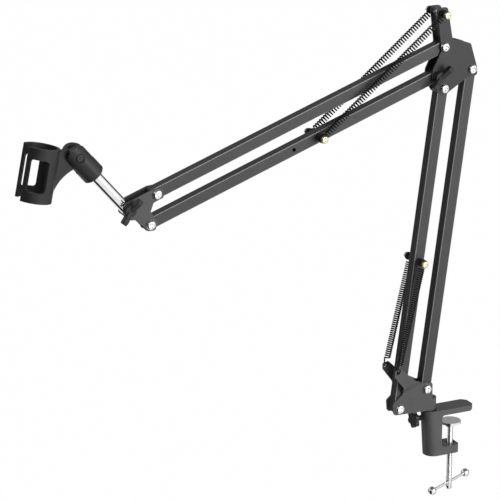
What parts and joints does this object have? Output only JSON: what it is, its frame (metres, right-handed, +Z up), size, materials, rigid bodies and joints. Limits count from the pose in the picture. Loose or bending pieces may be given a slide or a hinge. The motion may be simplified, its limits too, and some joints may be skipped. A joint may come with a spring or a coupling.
{
  "type": "microphone boom arm",
  "caption": "Desk-clamped microphone boom arm: paired square-tube parallel arms with balance springs, wing-knob joints and an open-ring microphone clip.",
  "frame": {"origin": "on the clamp screw's axis, level with the underside of the clamp's top plate, where the desk top lies", "axes": "+X to the right in the arm's plane, out of the clamp's mouth; +Y away from the viewer; +Z up along the clamp screw"},
  "size_m": [0.5302, 0.043, 0.5458],
  "materials": {
    "cast_black": "black powder coat on a casting",
    "chrome": "bright plated steel",
    "washer_steel": "plain zinc-plated steel",
    "black_plate": "satin black paint on sheet steel",
    "black_bar": "satin black paint on square steel tube",
    "spring_steel": "dark oiled spring wire",
    "black_plastic": "moulded satin black plastic",
    "bolt_brass": "yellow-passivated",
    "screw_black": "black oxide"
  },
  "bodies": {
    "clamp": {"clamp_body": "cast_black", "swivel_washer": "washer_steel"},
    "disc": {"pressure_disc": "chrome"},
    "screw": {"clamp_screw": "chrome"},
    "handle": {"tommy_bar": "chrome", "tommy_balls": "chrome"},
    "lock": {"lock_screw": "chrome", "lock_knob": "black_plastic"},
    "base": {"base_pin": "chrome", "base_bracket": "black_plate", "base_bolts": "chrome", "base_nuts": "chrome", "lower_spring_front": "spring_steel", "lower_spring_rear": "spring_steel"},
    "lower_right": {"lower_right_bar": "black_bar"},
    "lower_left": {"lower_left_bar": "black_bar", "lower_spring_spools": "black_plastic", "lower_spring_bolt": "bolt_brass", "lower_spring_nut": "washer_steel"},
    "elbow": {"elbow_front_plate": "black_plate", "elbow_rear_plate": "black_plate", "elbow_bolts": "chrome", "elbow_nuts": "chrome", "elbow_spacer": "washer_steel", "elbow_spring_spools": "black_plastic", "elbow_spring_bolt": "bolt_brass", "elbow_spring_nut": "washer_steel", "elbow_knob_washer": "washer_steel", "elbow_knob_nut": "chrome", "upper_spring_front": "spring_steel", "upper_spring_rear": "spring_steel"},
    "elbow_wing": {"elbow_knob": "black_plastic", "elbow_knob_stud": "chrome"},
    "upper_top": {"upper_top_bar": "black_bar"},
    "upper_bottom": {"upper_bottom_bar": "black_bar", "upper_spring_spools": "black_plastic", "upper_spring_bolt": "bolt_brass", "upper_spring_nut": "washer_steel"},
    "head": {"head_front_plate": "black_plate", "head_rear_plate": "black_plate", "head_bolts": "chrome", "head_nuts": "chrome", "head_knob_washer": "washer_steel", "head_knob_nut": "chrome"},
    "head_wing": {"head_knob": "black_plastic", "head_knob_stud": "chrome"},
    "tube": {"swivel_tube": "chrome", "thread_adapter": "bolt_brass"},
    "barrel": {"clip_barrel": "black_plastic", "thread_insert": "bolt_brass", "clip_screw": "screw_black", "clip_nut": "washer_steel"},
    "clip": {"clip_body": "black_plastic"}
  },
  "joints": [
    {"name": "screw_feed", "type": "slide", "parent": "clamp", "child": "disc", "axis": [0, 0, 1], "range_m": [-0.018, 0.0105]},
    {"name": "screw_turn", "type": "hinge", "parent": "disc", "child": "screw", "pos_m": [0, 0, -0.0117], "axis": [0, 0, 1], "range_deg": [-4320, 2520]},
    {"name": "handle_slide", "type": "slide", "parent": "screw", "child": "handle", "axis": [0.8988, 0.4384, 0], "range_m": [-0.023, 0.023]},
    {"name": "lock_turn", "type": "hinge", "parent": "clamp", "child": "lock", "pos_m": [-0.0369, 0, -0.0025], "axis": [-1, 0, 0], "range_deg": [-180, 180]},
    {"name": "base_swivel", "type": "hinge", "parent": "clamp", "child": "base", "pos_m": [-0.0285, 0, 0.0062], "axis": [0, 0, 1], "continuous": true},
    {"name": "lower_arm_fold", "type": "hinge", "parent": "base", "child": "lower_right", "pos_m": [-0.03562, 0, 0.03352], "axis": [0, 1, 0], "range_deg": [-67, 22], "deforming": ["lower_spring_front", "lower_spring_rear"]},
    {"name": "lower_left_follow", "type": "hinge", "parent": "base", "child": "lower_left", "pos_m": [-0.06898, 0, 0.01573], "axis": [0, 1, 0], "range_deg": [-67, 22]},
    {"name": "elbow_follow", "type": "hinge", "parent": "lower_right", "child": "elbow", "pos_m": [0.00965, 0, 0.38451], "axis": [0, 1, 0], "range_deg": [-22, 67]},
    {"name": "elbow_knob_turn", "type": "hinge", "parent": "elbow", "child": "elbow_wing", "pos_m": [-0.03161, 0, 0.38026], "axis": [0, 1, 0], "range_deg": [-90, 90]},
    {"name": "upper_arm_fold", "type": "hinge", "parent": "elbow", "child": "upper_top", "pos_m": [-0.02427, 0, 0.41107], "axis": [0, 1, 0], "range_deg": [-28, 60], "deforming": ["upper_spring_front", "upper_spring_rear"]},
    {"name": "upper_bottom_follow", "type": "hinge", "parent": "elbow", "child": "upper_bottom", "pos_m": [-0.03161, 0, 0.38026], "axis": [0, 1, 0], "range_deg": [-28, 60]},
    {"name": "head_follow", "type": "hinge", "parent": "upper_top", "child": "head", "pos_m": [-0.35131, 0, 0.29184], "axis": [0, 1, 0], "range_deg": [-60, 28]},
    {"name": "head_knob_turn", "type": "hinge", "parent": "head", "child": "head_wing", "pos_m": [-0.38253, 0, 0.27953], "axis": [0, 1, 0], "range_deg": [-90, 90]},
    {"name": "tube_tilt", "type": "hinge", "parent": "head", "child": "tube", "pos_m": [-0.38253, 0, 0.27953], "axis": [0, 1, 0], "range_deg": [-70, 30]},
    {"name": "clip_turn", "type": "hinge", "parent": "tube", "child": "barrel", "pos_m": [-0.43336, 0, 0.33883], "axis": [-0.6508, 0, 0.7593], "range_deg": [-90, 90]},
    {"name": "clip_tilt", "type": "hinge", "parent": "barrel", "child": "clip", "pos_m": [-0.43336, 0, 0.33883], "axis": [0, 1, 0], "range_deg": [-20, 60]}
  ],
  "couplings": [
    {"joint": "screw_turn", "follows": "screw_feed", "rad_per_m": 4188.8},
    {"joint": "lower_left_follow", "follows": "lower_arm_fold", "ratio": 1},
    {"joint": "elbow_follow", "follows": "lower_arm_fold", "ratio": -1},
    {"joint": "upper_bottom_follow", "follows": "upper_arm_fold", "ratio": 1},
    {"joint": "head_follow", "follows": "upper_arm_fold", "ratio": -1}
  ]
}
